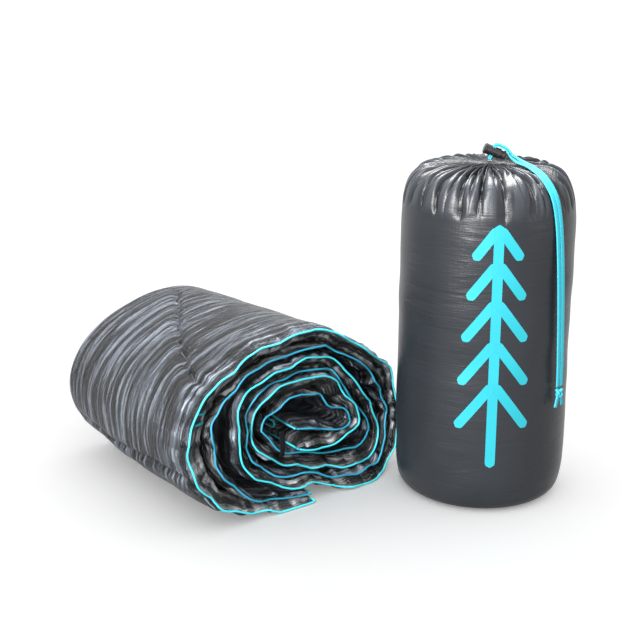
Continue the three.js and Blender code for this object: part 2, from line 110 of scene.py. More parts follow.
def catmull(points, count):
    """A centripetal Catmull-Rom curve through points, with count steps between each point and the next."""
    p = [np.array(q, float) for q in points]
    p = [2 * p[0] - p[1], *p, 2 * p[-1] - p[-2]]
    out = []
    for a, b, c, d in zip(p, p[1:], p[2:], p[3:]):
        k1, k2, k3 = (max(np.linalg.norm(q - r) ** 0.5, 1e-6) for q, r in ((b, a), (c, b), (d, c)))
        m1 = ((b - a) / k1 - (c - a) / (k1 + k2) + (c - b) / k2) * k2
        m2 = ((c - b) / k2 - (d - b) / (k2 + k3) + (d - c) / k3) * k2
        for t in np.arange(count) / count:
            out.append(
                (2 * t**3 - 3 * t**2 + 1) * b + (t**3 - 2 * t**2 + t) * m1
                + (-2 * t**3 + 3 * t**2) * c + (t**3 - t**2) * m2
            )
    out.append(p[-2])
    return np.array(out)


def evenly(points, count):
    """The same line with count equal steps, and its length."""
    along = steps_along(points)
    at = np.linspace(0, along[-1], count + 1)
    columns = [np.interp(at, along, points[:, k]) for k in range(points.shape[1])]
    return np.stack(columns, 1), along[-1]


def smooth(x, low, high):
    """0 below low, 1 above high and an easy slope between."""
    t = np.clip((x - low) / (high - low), 0, 1)
    return t * t * (3 - 2 * t)


# ---- Meshes ----
def mesh_object(name, vertices, faces, material, uv=None, shade=None):
    """A mesh from points in CAD millimetres. shade is painted shading: 0 in the folds for painted shade, 1
    on the ridges for painted highlights and 0.5 between.
    """
    mesh = bpy.data.meshes.new(name)
    points = (np.asarray(vertices) + OFFSET) * MM
    mesh.from_pydata(points.tolist(), [], [list(map(int, f)) for f in faces])
    if uv is not None:
        layer = mesh.uv_layers.new(name="UVMap")
        corner = np.zeros(len(mesh.loops), np.int32)
        mesh.loops.foreach_get("vertex_index", corner)
        layer.data.foreach_set("uv", np.asarray(uv, np.float32)[corner].ravel())
    if shade is not None:
        layer = mesh.attributes.new("shade", "FLOAT", "POINT")
        layer.data.foreach_set("value", np.asarray(shade, np.float32).ravel())
    mesh.shade_smooth()
    mesh.materials.append(material)
    mesh.update()
    obj = bpy.data.objects.new(name, mesh)
    bpy.context.scene.collection.objects.link(obj)
    return obj


def grid_faces(rows, columns, wrap=False):
    """Quads over a grid of rows by columns points."""
    i = np.arange(rows - 1)[:, None]
    k = np.arange(columns if wrap else columns - 1)[None, :]
    a = i * columns + k
    b = i * columns + (k + 1) % columns
    return np.stack([a, b, b + columns, a + columns], -1).reshape(-1, 4)


def closed_faces(rows, columns):
    """The faces of a tube of rows by columns points with both ends closed."""
    faces = grid_faces(rows, columns, wrap=True).tolist()
    faces.append(list(range(columns))[::-1])
    faces.append([(rows - 1) * columns + k for k in range(columns)])
    return faces


def grid_uv(along, around):
    """Flat coordinates in metres for each point of a grid, from millimetres along and around it."""
    return np.stack(np.broadcast_arrays(along, around), -1).reshape(-1, 2) * MM


def unit_rows(vectors):
    """Each vector with length 1."""
    return vectors / np.linalg.norm(vectors, axis=1)[:, None]


def tube(name, points, radius, material, sides=10):
    """A round closed tube along points."""
    points = np.asarray(points, float)
    side = None
    rings = []
    turn = np.arange(sides) * 2 * math.pi / sides
    for p, t in zip(points, unit_rows(np.gradient(points, axis=0))):
        side = np.cross(t, (0, 1, 0.2)) if side is None else side
        side = side - t * np.dot(side, t)
        side /= np.linalg.norm(side)
        other = np.cross(t, side)
        rings.append(p + radius * (np.cos(turn)[:, None] * side + np.sin(turn)[:, None] * other))
    uv = grid_uv(steps_along(points)[:, None], turn[None, :] * radius)
    return mesh_object(name, np.concatenate(rings), closed_faces(len(points), sides), material, uv)


def sack_place(points):
    """From the sack's own axes, x to the viewer's right and y away, to the CAD's layout."""
    p = np.asarray(points, float)
    right, away, up = p[..., 0], p[..., 1], p[..., 2]
    c, s = math.cos(VIEW_TURN), math.sin(VIEW_TURN)
    return np.stack([SACK_AT[0] + right * c + away * s, SACK_AT[1] - right * s + away * c, up], -1)


def sack_direction(direction):
    """The same for a direction."""
    return sack_place(direction) - sack_place(np.zeros(3))


# ---- Materials ----
class Shader:
    """A material's node tree, with short ways to add nodes."""

    def __init__(self, name, color, roughness, **settings):
        self.material = bpy.data.materials.new(name)
        self.material.use_nodes = True
        self.material.diffuse_color = (*color, 1)
        self.tree = self.material.node_tree
        self.out = self.tree.nodes["Principled BSDF"]
        self.out.inputs["Base Color"].default_value = (*color, 1)
        self.out.inputs["Roughness"].default_value = roughness
        for key, value in settings.items():
            self.out.inputs[key.replace("_", " ")].default_value = value

    def node(self, kind, inputs=(), **settings):
        """A new node. An input given as another node's output is joined to it, any other value is set."""
        made = self.tree.nodes.new(kind)
        for key, value in settings.items():
            setattr(made, key, value)
        for key, value in dict(inputs).items():
            if isinstance(value, bpy.types.NodeSocket):
                self.tree.links.new(value, made.inputs[key])
            else:
                made.inputs[key].default_value = value
        return made

    def uv(self, scale, turn=0.0):
        """The surface's own flat coordinates, in metres, times scale."""
        flat = self.node("ShaderNodeUVMap", uv_map="UVMap")
        inputs = {"Vector": flat.outputs["UV"], "Scale": (*scale, 1), "Rotation": (0, 0, turn)}
        return self.node("ShaderNodeMapping", inputs).outputs["Vector"]

    def noise(self, vector, detail=3.0, roughness=0.5, distortion=0.0):
        """Cloudy noise over vector, one cloud to each unit."""
        inputs = {"Vector": vector, "Scale": 1.0, "Detail": detail}
        inputs.update({"Roughness": roughness, "Distortion": distortion})
        return self.node("ShaderNodeTexNoise", inputs).outputs["Fac"]

    def ramp(self, value, stops):
        """A colour ramp through (position, colour) stops."""
        made = self.node("ShaderNodeValToRGB", {"Fac": value})
        elements = made.color_ramp.elements
        while len(elements) < len(stops):
            elements.new(0.5)
        for element, (position, color) in zip(elements, stops):
            element.position = position
            element.color = (*color, 1)
        return made.outputs["Color"]

    def folds(self, color, dark, light):
        """A colour with painted shade in the folds of the cloth and painted highlights on its ridges, read
        from the shade attribute.
        """
        shade = self.node("ShaderNodeAttribute", attribute_name="shade").outputs["Fac"]
        share = self.ramp(shade, [(0.05, (dark,) * 3), (0.5, (1, 1, 1)), (0.95, (light,) * 3)])
        made = self.node("ShaderNodeVectorMath", {0: color, 1: share}, operation="MULTIPLY")
        return made.outputs["Vector"]

    def bump(self, height, distance, strength=1.0, under=None):
        """Normals for a height, added to the normals under it."""
        inputs = {"Height": height, "Distance": distance, "Strength": strength}
        if under is not None:
            inputs["Normal"] = under
        return self.node("ShaderNodeBump", inputs).outputs["Normal"]

    def set(self, name, socket):
        """Joins a node's output to an input of the material."""
        self.tree.links.new(socket, self.out.inputs[name])


def grey(value, tint=0.0):
    """A grey that leans to blue by tint."""
    return (value * (1 - tint), value, value * (1 + 1.6 * tint))


def quilt_cloth(name, dark, middle, light, roughness):
    """Thin shiny nylon in fine creases that run the way the blanket is rolled, with painted shade in the
    creases and painted highlights on their crests and ridges.
    """
    s = Shader(name, middle, roughness, Specular_IOR_Level=0.22)
    streaks = s.noise(s.uv((8, 140), 0.1), detail=6, roughness=0.68, distortion=0.5)
    fine = s.noise(s.uv((34, 560), -0.1), detail=4, roughness=0.6, distortion=0.4)
    broad = s.noise(s.uv((8, 30)))
    # The streaks' tone follows the same noise as their bump: painted shade in the creases, painted
    # highlights on the crests.
    tone = s.ramp(streaks, [(0.42, dark), (0.5, middle), (0.59, light)])
    # Painted shade in the folds and painted highlights on the ridges, from the shade attribute.
    s.set("Base Color", s.folds(tone, 0.2, 3.0))
    first = s.bump(broad, 0.012, 0.7)
    second = s.bump(streaks, 0.012, 1.0, first)
    s.set("Normal", s.bump(fine, 0.002, 0.9, second))
    return s.material


def sack_cloth(name):
    """The same nylon drawn smooth over the full sack: a fine weave and slight slack across it, with painted
    shade in the gathers' folds and painted highlights on their ridges.
    """
    s = Shader(name, grey(0.01, 0.07), 0.34, Specular_IOR_Level=0.2)
    tone = s.ramp(s.noise(s.uv((7, 5))), [(0.3, grey(0.0075, 0.12)), (0.7, grey(0.012, 0.11))])
    # Painted shade in the gathers' folds and painted highlights on their ridges, from the shade attribute.
    s.set("Base Color", s.folds(tone, 0.12, 3.4))
    weave_across = s.noise(s.uv((22, 620)), detail=2)
    weave_up = s.noise(s.uv((620, 22)), detail=2)
    slack = s.noise(s.uv((16, 75)), distortion=0.6)
    first = s.bump(slack, 0.0025, 0.35)
    second = s.bump(weave_across, 0.0005, 0.4, first)
    s.set("Normal", s.bump(weave_up, 0.0004, 0.3, second))
    return s.material


def trim_material(name, color, rib):
    """Ribbed woven trim: rib is the scale of its waves."""
    s = Shader(name, color, 0.55, Specular_IOR_Level=0.3)
    weave = s.node("ShaderNodeTexWave", {"Vector": s.uv((1, 1)), "Scale": rib, "Distortion": 0.5})
    s.set("Normal", s.bump(weave.outputs["Fac"], 0.0002, 0.4))
    return s.material


def plain(name, color, roughness, **settings):
    """A material of one colour."""
    return Shader(name, color, roughness, **settings).material


# The dark and light greys are painted shade in the creases and painted highlights on their crests, round
# each cloth's middle grey.
BODY_CLOTH = quilt_cloth("roll_face", grey(0.001, 0.05), grey(0.009, 0.18), grey(0.075, 0.12), 0.28)
LINING_CLOTH = quilt_cloth("roll_lining", grey(0.002, 0.02), grey(0.012, 0.03), grey(0.085, 0.03), 0.18)
SACK_CLOTH = sack_cloth("sack_nylon")
PIPING_TRIM = trim_material("piping_trim", (0.014, 0.225, 0.26), 260)
# The inner piping is the same trim as the outer, painted darker: painted shade, as its edge lies deeper in
# the roll.
SHADED_PIPING_TRIM = trim_material("shaded_piping_trim", (0.004, 0.11, 0.17), 260)
CORD_TRIM = trim_material("cord_trim", (0.01, 0.2, 0.25), 330)
PRINT_INK = plain("print_ink", (0.008, 0.155, 0.185), 0.5, Specular_IOR_Level=0.2)
THREAD = plain("thread", (0.012, 0.014, 0.018), 0.7)
WEBBING = plain("black_webbing", (0.003, 0.003, 0.004), 0.8, Specular_IOR_Level=0.05)
PLASTIC = plain("black_plastic", (0.004, 0.004, 0.005), 0.3)
STEEL = plain("spring_steel", (0.6, 0.6, 0.62), 0.3, Metallic=1.0)


# ---- Printed strokes ----
def round_end(reach, radius):
    """The square of the share of its full width that a round-ended shape has at a distance from its end."""
    return 1 - (1 - np.clip(reach / radius, 0, 1)) ** 2


def stroke(points, width, step=2.5):
    """The two sides of a line of even width, with round ends."""
    line, length = evenly(np.array(points, float), max(2, int(math.dist(points[0], points[-1]) / step)))
    along = unit_rows(np.gradient(line, axis=0))
    side = np.stack([-along[:, 1], along[:, 0]], 1)
    at = np.linspace(0, length, len(line))
    share = round_end(np.minimum(at, length - at), width / 2)
    half = width / 2 * np.sqrt(np.clip(share, 0.02, 1))
    return line + side * half[:, None], line - side * half[:, None]


def pair_faces(start, count):
    """Quads between count pairs of points, from the point numbered start."""
    return [[a, a + 1, a + 3, a + 2] for a in range(start, start + 2 * (count - 1), 2)]


# ---- Noise for soft shapes ----
TABLE = 64  # the noise repeats after this many units


def zigzag(x, seed):
    """Random heights from -1 to 1 at the whole numbers, joined by straight lines, over an array x."""
    table = np.random.default_rng(seed).uniform(-1, 1, TABLE)
    i = np.floor(x).astype(int)
    return table[i % TABLE] * (i + 1 - x) + table[(i + 1) % TABLE] * (x - i)


def waves(x, y, seed, around=TABLE):
    """Smooth random heights from -1 to 1 over arrays x and y, one bump to a unit. x repeats after around."""
    table = np.random.default_rng(seed).uniform(-1, 1, (around, TABLE))
    x, y = np.broadcast_arrays(np.asarray(x, float), np.asarray(y, float))
    i, k = np.floor(x).astype(int), np.floor(y).astype(int)
    u, v = x - i, y - k
    u, v = u * u * (3 - 2 * u), v * v * (3 - 2 * v)
    near, far = i % around, (i + 1) % around
    low = table[near, k % TABLE] * (1 - u) + table[far, k % TABLE] * u
    high = table[near, (k + 1) % TABLE] * (1 - u) + table[far, (k + 1) % TABLE] * u
    return low * (1 - v) + high * v


# ---- The rolled blanket ----
FINE = 800  # steps along the rolled line
CURVE_STEPS = 40  # of the curve between two points of ROLL_LINE
LOWERED = 1.2  # the line runs this much lower than ROLL_LINE
rolled_points = [(x, 0, z - LOWERED) for x, z in ROLL_LINE]
fine, rolled_length = evenly(catmull(rolled_points, CURVE_STEPS), FINE)
fine_step = rolled_length / FINE
ahead = unit_rows(np.gradient(fine, axis=0))
inward = np.stack([ahead[:, 2], np.zeros(FINE + 1), -ahead[:, 0]], 1)

NEXT_TURN = 110  # parts of the line that are nearer than this along it are in the same turn
BEND_SPAN = 6  # steps each way over which the line's bend is measured
EASE = round(24 / fine_step)  # steps each way over which the depth changes


def lowest_near(values):
    """The lowest value within EASE steps of each point of the line."""
    return np.array([values[max(0, i - EASE) : i + EASE + 1].min() for i in range(FINE + 1)])


def free_room():
    """How deep the leaves can lie inside each point of the line."""
    index = np.arange(FINE + 1)
    room = np.full(FINE + 1, 400.0)
    for i in index:
        to = fine - fine[i]
        gap = np.linalg.norm(to, axis=1)
        seen = (np.abs(index - i) * fine_step >= NEXT_TURN) & (to @ inward[i] >= 0.6 * gap)
        facing = inward @ inward[i] < -0.2
        if seen.any():
            room[i] = np.where(facing, gap / 2, gap)[seen].min()
    low, high = np.clip(index - BEND_SPAN, 0, FINE), np.clip(index + BEND_SPAN, 0, FINE)
    bend = np.arccos(np.clip((inward[low] * inward[high]).sum(1), -1, 1))
    radius = (high - low) * fine_step / np.maximum(bend, 1e-3)
    limit = np.minimum(lowest_near(room) - TURN_CLEARANCE, lowest_near(0.8 * radius))
    kernel = np.hanning(2 * EASE + 1)
    return np.convolve(np.pad(limit, EASE, "edge"), kernel / kernel.sum(), "valid")


depth_limit = free_room()
GROUND = 1.3  # no point of the quilt's cloth or of its piping's middle lies lower
SAG = 11  # the low outer side bulges by this much, most in the middle of the roll's length


def roll_place(i, depth, back):
    """A point of the roll: fine point i, a depth inside the outer leaf and a distance from the front."""
    at = fine[i] + inward[i] * np.asarray(depth)[..., None]
    x, z = at[..., 0], at[..., 2]
    side = smooth(x, 70, 160)
    core = CORE_SETBACK * smooth(i / FINE, 0.35, 0.85)
    front = -FRONT_LEAN * (1 - z / ROLL_HEIGHT) * (1 - side) + SIDE_SETBACK * side + core
    share = back / ROLL_LENGTH
    shrink = 1 - TAPER * back / ROLL_LENGTH
    low_side = smooth(-x, 50, 110) * (1 - smooth(z, 25, 85))
    sag = SAG * low_side * np.sin(np.clip(share, 0, 1) ** 0.8 * math.pi)
    return np.stack([x * shrink - sag, back + front * (1 - share), np.maximum(z * shrink, GROUND)], -1)


FOLD_FRONT = 58  # the hidden fold between leaves 2 and 3
LEAF_FRONTS = (0, FOLD_FRONT, FOLD_FRONT, 7)
BACK_FOLD = ROLL_LENGTH - 4
PINCH = 15  # the quilt swells to its full thickness this far from its edges
FOLD_POINTS = 7
DENSE = 44  # points lie closer together within this distance of a leaf's front edge
HALF_LEAF = 0.47  # half a leaf's thickness, as a share of its pitch
INNER_EDGE = 0.61  # how deep the last leaf's front edge lies, as a share of the room inside the turn
FREE_END_DEPTH = 6.5  # and in millimetres, at the free end under the roll
FACE_FLARE = 0.2  # what the last leaf's face reaches near its edge, as a share of the same room
LINING_FLARE = 0.42  # and the first leaf's lining
MOST_FLARE = 20


def leaf_run(front):
    """Distances from the front edge to the back, closer together near the front."""
    dense = front + np.arange(0, DENSE, 2.4)
    return np.concatenate([dense, np.linspace(front + DENSE, BACK_FOLD, 27)])


def leaf_depths(v, leaf, y, deep, wide):
    """How deep a leaf lies at each distance y from the front. The last leaf's front edge lies apart."""
    if leaf < LEAVES - 1:
        return deep[leaf] + 0 * y
    near_front = 1 - smooth(y, 20, 90)
    tail = 1 - smooth(v, 15, 120)
    lift = (INNER_EDGE * wide - deep[leaf]) * near_front
    return deep[leaf] + (lift * (1 - tail) - tail * (deep[leaf] - FREE_END_DEPTH) * near_front)


def section(v):
    """The folded quilt across the roll where the rolled length is v. It gives the nearest fine point and for
    each point of the section its distance from the front, depth, leaf and freedom, its side direction, the
    half thicknesses towards the face and the lining, and the distance along the cloth."""
    i = min(FINE, max(0, int(round(v / fine_step))))
    room = depth_limit[i]
    pitch = min(LEAF_PITCH, room / LEAVES)
    spare = max(0, room - LEAVES * pitch)
    deep = [0, spare + pitch, spare + 2 * pitch, spare + 3 * pitch]
    wide = room + TURN_CLEARANCE
    rows = []
    for leaf, front in enumerate(LEAF_FRONTS):
        y = leaf_run(front)
        free = smooth(y, front, front + 14) * (1 - smooth(y, 45, 120))
        run = np.stack([y, leaf_depths(v, leaf, y, deep, wide), np.full_like(y, leaf), free], 1)
        rows.append(run[::-1] if leaf % 2 else run)
        if leaf < LEAVES - 1:
            a, b = deep[leaf], deep[leaf + 1]
            turn = np.linspace(0, math.pi, FOLD_POINTS + 2)[1:-1]
            out = (min(b - a, 14) / 2 + 1) * np.sin(turn)
            edge = BACK_FOLD + out if leaf % 2 == 0 else FOLD_FRONT - out
            middle = (a + b) / 2 - (b - a) / 2 * np.cos(turn)
            rows.append(np.stack([edge, middle, np.full_like(turn, leaf + 0.5), 0 * turn], 1))
    path = np.concatenate(rows)
    t = np.gradient(path[:, :2], axis=0)
    t /= np.maximum(np.linalg.norm(t, axis=1), 1e-6)[:, None]
    u = steps_along(path[:, :2])
    pinch = np.sqrt(np.clip(round_end(np.minimum(u, u[-1] - u), PINCH), 0.002, 1))
    end = np.clip(min(v, rolled_length - v) / PINCH, 0, 1)
    pinch = pinch * math.sqrt(max(1 - (1 - end) ** 2, 0.004))
    half = HALF_LEAF * pitch * pinch
    leaf = path[:, 2]
    free = path[:, 3] * math.sqrt(end)
    last_face = max(0, FACE_FLARE * wide - half.max())
    first_lining = np.clip(LINING_FLARE * wide - half.max(), 0, MOST_FLARE)
    to_face = half + free * np.where(leaf == LEAVES - 1, last_face, 0.6)
    to_lining = half + free * np.select([leaf == 0, leaf == LEAVES - 1], [first_lining, 1.5], 0)
    return i, path, np.stack([t[:, 1], -t[:, 0]], 1), to_face, to_lining, u


STATIONS = 560
v_at = np.linspace(0, rolled_length, STATIONS + 1)
face_side, lining_side, middle_line, flat_u, leaf_at = [], [], [], [], []
for v in v_at:
    i, path, side, to_face, to_lining, u = section(v)
    face_side.append((i, path[:, :2] + side * to_face[:, None]))
    lining_side.append((i, path[:, :2] - side * to_lining[:, None]))
    middle_line.append((i, path[:, :2]))
    flat_u.append(u)
    leaf_at.append(path[:, 2])
flat_u, leaf_at = np.array(flat_u), np.array(leaf_at)
ROWS, COLUMNS = flat_u.shape
FAR_EDGE = 800  # leaves 3 and 4 wander as leaves 1 and 2 do this much further along


def meander(v, leaf, back):
    """How far a leaf wanders up or down, and forwards or back, at length v and a distance from the front."""
    v = v + FAR_EDGE * (leaf > 1.5)
    fade = np.exp(-np.clip(back, 0, None) / 60)
    out = 2.6 * waves(v / 46, 0.5, 3) + 3.4 * zigzag(v / 22, 4) + 0.7 * waves(v / 9, 8.5, 7)
    fore = 3.0 * waves(v / 60, 4.5, 5) + 2.2 * zigzag(v / 19, 6)
    return out * fade, fore * fade


# Where the outer leaf is sewn through or creased: distance from the front, rolled length.
SEAM = [
    (18, 296), (38, 297), (53, 301), (82, 315), (110, 329), (147, 349), (175, 368), (204, 386), (232, 402),
    (262, 424),
]
CREASE = [(0, 187), (72, 183), (138, 174), (185, 169), (232, 172), (285, 178)]


def bell(x, width):
    """1 at x = 0, falling to nothing a few widths away."""
    return np.exp(-((x / width) ** 2))


def furrow(off, swell, groove):
    """How far cloth stands out beside a line: swell is (height, start, end) and groove is (depth, width)."""
    return swell[0] * (1 - bell(off, swell[1])) * bell(off, swell[2]) - groove[0] * bell(off, groove[1])


def sewn_in(v, u):
    """How far the outer leaf's cloth stands out beside its seam and crease."""
    off_seam = np.abs(v - np.interp(u, *zip(*SEAM))) * 0.9
    seam = furrow(off_seam, (2.4, 10, 42), (4.2, 3.4))
    seam = seam * smooth(u, 12, 30) * (1 - smooth(u, 255, 275))
    off_crease = np.abs(v - np.interp(u, *zip(*CREASE)))
    crease = furrow(off_crease, (3.4, 9, 26), (6, 3.6))
    return seam + crease * smooth(u, 4, 24) * np.where(u < BACK_FOLD, 1, 0)


def roll_surface(rows, puff):
    """Points and painted shades of one side of the quilt: puff is 1 for its face and -1 for its lining."""
    out, shades = [], []
    for (i, yd), v, u, leaf in zip(rows, v_at, flat_u, leaf_at):
        y, d = yd[:, 0], yd[:, 1]
        wander, fore = meander(v, leaf, y)
        edge = np.minimum(u, u[-1] - u)
        pucker = np.exp(-edge / 20) * smooth(edge, 0.5, 4)
        crease = pucker * (3.4 * waves(v / 9, u / 34, 11) + 2.2 * waves(v / 4.7, u / 20, 14)) * puff
        soft = smooth(edge, 8, 40)
        broad = soft * (1.5 * waves(v / 55, u / 38, 12) + 0.8 * waves(v / 30, u / 13, 13))
        # Painted shade in the puckers' folds and painted highlights on their ridges.
        shade = 0.5 + 0.24 * crease * puff
        if puff > 0:
            sewn = np.where(leaf == 0, sewn_in(v, u), 0)
            broad = broad + sewn / 0.6
            # Painted shade along the seam's and crease's grooves.
            shade = shade + 0.05 * np.minimum(sewn + 2, 0)
        outward = np.where(leaf % 2 < 1, -1, 1) * puff
        out.append(roll_place(i, d - wander + outward * (crease + 0.6 * broad), y + fore))
        shades.append(np.clip(shade, 0, 1))
    return np.concatenate(out), np.concatenate(shades)


def roll_piece(obj, *nodes):
    """Lets a piece go with the blanket in place of the CAD's nodes."""
    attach(obj, "blanket_roll")
    if nodes:
        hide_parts(*nodes)
    return obj


def quilt_faces():
    """The faces of the quilt's two sides and of the rim between them, and which of them are lining."""
    near = grid_faces(ROWS, COLUMNS)
    count = ROWS * COLUMNS
    ring = np.concatenate([
        np.arange(COLUMNS), (np.arange(1, ROWS) + 1) * COLUMNS - 1,
        (ROWS - 1) * COLUMNS + np.arange(COLUMNS - 2, -1, -1), np.arange(ROWS - 2, 0, -1) * COLUMNS,
    ])
    after = np.roll(ring, -1)
    rim = np.stack([after, ring, ring + count, after + count], 1)
    lining = np.repeat(np.array([0, 1, 0], np.int32), [len(near), len(near), len(rim)])
    return np.concatenate([near, near[:, ::-1] + count, rim]), lining


face_points, face_shade = roll_surface(face_side, 1)
lining_points, lining_shade = roll_surface(lining_side, -1)
faces, lining_faces = quilt_faces()
quilt_uv = grid_uv(v_at[:, None], flat_u)
APART = 3.0  # metres between the two sides' flat coordinates
quilt = mesh_object(
    "quilt", np.concatenate([face_points, lining_points]), faces, BODY_CLOTH,
    np.concatenate([quilt_uv, quilt_uv + APART]), np.concatenate([face_shade, lining_shade]),
)
quilt.data.materials.append(LINING_CLOTH)
quilt.data.polygons.foreach_set("material_index", lining_faces)
roll_piece(quilt, "blanket_face_cover", "blanket_insulation", "blanket_lining")

PIPING_RADIUS = 1.2
PIPING_OUT = 1.1  # the piping's middle lies this far outside a long edge


def edge_piping(name, node, column, trim):
    """Piping along one long edge of the quilt."""
    points = []
    for (i, yd), v, leaf in zip(middle_line, v_at, leaf_at):
        wander, fore = meander(v, leaf[column], yd[column, 0])
        points.append(roll_place(i, yd[column, 1] - wander, yd[column, 0] + fore - PIPING_OUT))
    made = roll_piece(tube(name, points, PIPING_RADIUS, trim), node)
    return made


def end_piping(name, node, row, out):
    """Piping across one short edge of the quilt, which follows its folds."""
    i, yd = middle_line[row]
    wander, fore = meander(v_at[row], leaf_at[row], yd[:, 0])
    points = roll_place(i, yd[:, 1] - wander, yd[:, 0] + fore) + ahead[i] * out
    made = roll_piece(tube(name, points, PIPING_RADIUS, PIPING_TRIM, 8), node)
    return made


pipings = [
    edge_piping("piping_outer", "piping_outer_long_edge", 0, PIPING_TRIM),
    edge_piping("piping_inner", "piping_inner_long_edge", -1, SHADED_PIPING_TRIM),
    end_piping("piping_free", "piping_free_end", 0, -PIPING_RADIUS),
    end_piping("piping_core", "piping_core_end", -1, PIPING_RADIUS),
]


# ---- A small printed mark beside the piped edge, on the lining ----
def lining_point(v, u, lift):
    """A point above the lining of leaf 1, at rolled length v and a distance u from the piped edge."""
    row = v / rolled_length * STATIONS
    column = np.interp(u, flat_u[0][:30], np.arange(30))
    i, k = int(row), int(column)
    a, b = row - i, column - k
    near, far = lining_points[i * COLUMNS + k :][:2], lining_points[(i + 1) * COLUMNS + k :][:2]
    at = (near[0] * (1 - b) + near[1] * b) * (1 - a) + (far[0] * (1 - b) + far[1] * b) * a
    facing = np.cross(far[0] - near[0], near[1] - near[0])
    out = np.sign(facing @ inward[int(v / fine_step)])
    return at + lift * facing / np.linalg.norm(facing) * out


def lining_patch(name, lines, width, material, lift=0.5):
    """A thin print on the lining. Each line is a list of (rolled length, distance from the piped edge)."""
    vertices, faces = [], []
    for line in lines:
        first, second = stroke(line, width, 1.5)
        faces += pair_faces(len(vertices), len(first))
        vertices += [lining_point(v, u, lift) for pair in zip(first, second) for v, u in pair]
    return roll_piece(mesh_object(name, vertices, faces, material, np.zeros((len(vertices), 2))))


CHEVRONS = [[(v, 23), (v + 9, 13), (v, 4)] for v in (250, 264)]
lining_patch("edge_mark", CHEVRONS, 2.6, PRINT_INK)

# ---- The thread of the seam ----
outer_leaf = flat_u[0][: np.argmax(leaf_at[0] > 0)]
seam_line, _ = evenly(catmull([(u, v, 0) for u, v in SEAM], 8)[:, :2], 90)
SEAM_STEP = 4  # of the seam line's steps, from one point of the thread to the next
THREAD_RADIUS = 0.55
seam_points = []
for u, v in seam_line[SEAM_STEP:-SEAM_STEP:SEAM_STEP]:
    row, column = int(round(v / rolled_length * STATIONS)), int(np.argmin(np.abs(outer_leaf - u)))
    seam_points.append(face_points[row * COLUMNS + column])
roll_piece(tube("seam_thread", catmull(seam_points, 5), THREAD_RADIUS, THREAD, 6))


# ---- Flat bands ----
def band_outline(width, thick):
    """Points round a flat band's rounded section, as (across, deep)."""
    half, edge = width / 2, thick / 2
    right = [(half - edge, -edge), (half - 0.35 * edge, -0.85 * edge), (half, -0.3 * edge)]
    right += [(w, -t) for w, t in right[::-1]]
    left = [(-w, -t) for w, t in right]
    return left[3:] + [(0, -0.8 * edge)] + right + [(0, 0.8 * edge)] + left[:3]


def strip(name, stops, width, thick, material, body):
    """A flat band with rounded edges through stops of (point, width direction, thickness direction)."""
    outline = band_outline(width, thick)
    rings = [np.array([at + w * wide + t * deep for w, t in outline]) for at, wide, deep in stops]
    along = steps_along(np.array([at for at, _, _ in stops]))
    around = np.array([w for w, _ in outline])
    uv = grid_uv(along[:, None], around[None, :])
    made = mesh_object(name, np.concatenate(rings), closed_faces(len(stops), len(outline)), material, uv)
    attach(made, body)
    return made


# ---- The webbing tab at the core ----
TAB_AT = np.array([-43, -7, 80])
TAB_LENGTH = 32
TAB_WIDTH = 7
TAB_THICK = 1.4
TAB_STEPS = 20


def tab_stop(t):
    """Where the tab is at t, from 0 at its top to 1 at its foot."""
    bow = math.sin(math.pi * t)
    at = TAB_AT + np.array([1.5 * bow, -0.8 * bow, TAB_LENGTH / 2 - TAB_LENGTH * t])
    return at, np.array([1.0, 0, 0.1]), np.array([0, 1.0, 0])


tab_stops = [tab_stop(k / TAB_STEPS) for k in range(TAB_STEPS + 1)]
tab = strip("corner_tab", tab_stops, TAB_WIDTH, TAB_THICK, WEBBING, "blanket_roll")
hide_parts("corner_label")

# ---- The stuff sack ----
PROFILE_STEPS = 14  # of the curve between two points of SACK_PROFILE
UPWARDS = 260  # steps along the profile
AROUND = 720
profile = catmull([(r, 0, z) for r, z in SACK_PROFILE], PROFILE_STEPS)[:, [0, 2]]
profile, profile_length = evenly(profile, UPWARDS)
turn = np.arange(AROUND) * 2 * math.pi / AROUND
GATHER_FAMILIES = [(25, 31, 124, 15.0), (43, 32, 114, 10.0), (67, 33, 80, 6.0)]  # count, seed, reach, depth
GATHERS_LOW = 348  # below about this height there are none
GATHERS_FADE = 14  # and they have their full depth this far above it
LEVEL = 0.82  # how high up a gather the profile runs, from 0 in the folds to 1 on the ridges
CORD_ANGLE = 5.44  # the cord presses the gathers flat where it lies over the crown


def gathers(angle, radius, height):
    """How far the gathered cloth stands up at a place, and its painted shading: -1 for painted shade in the
    folds, 1 for painted highlights on the ridges.
    """
    a = angle / (2 * math.pi)
    folds, shade = 0, 0
    for count, seed, reach, depth in GATHER_FAMILIES:
        drift = 0.5 * waves(a * 9, radius / 26, seed + 9, 9)
        drift = drift + 0.4 * waves(a * count, radius / 40, seed, count)
        ridge = np.abs(np.sin(math.pi * (a * count + drift)))
        grouped = waves(a * (count // 2), radius / 60, seed + 3, count // 2)
        end = reach * (0.93 + 0.07 * waves(a * count, 0.5, seed + 5, count))
        fade = np.clip(0.6 + 0.7 * grouped, 0, 1) * (1 - smooth(radius, 0.8 * end, end))
        folds = folds + fade * np.minimum(1, radius / (0.45 * reach)) * (ridge**0.6 - LEVEL) * depth
        # Painted highlights on the ridges towards their outer ends, and painted shade in the folds.
        painted_ridge_highlight = smooth(ridge, 0.72, 1) * smooth(radius, 0.5 * end, 0.85 * end)
        shade = shade + fade * (0.7 * painted_ridge_highlight - bell(ridge, 0.26))
    folds = folds * (1 - 0.85 * bell(angle - CORD_ANGLE, 0.14))
    low = GATHERS_LOW + 8 * waves(a * 34, 0.5, 77, 34)
    stop = smooth(height, low, low + GATHERS_FADE)
    return folds * stop * smooth(radius, 6, 28), np.clip(shade * stop, -1, 1)


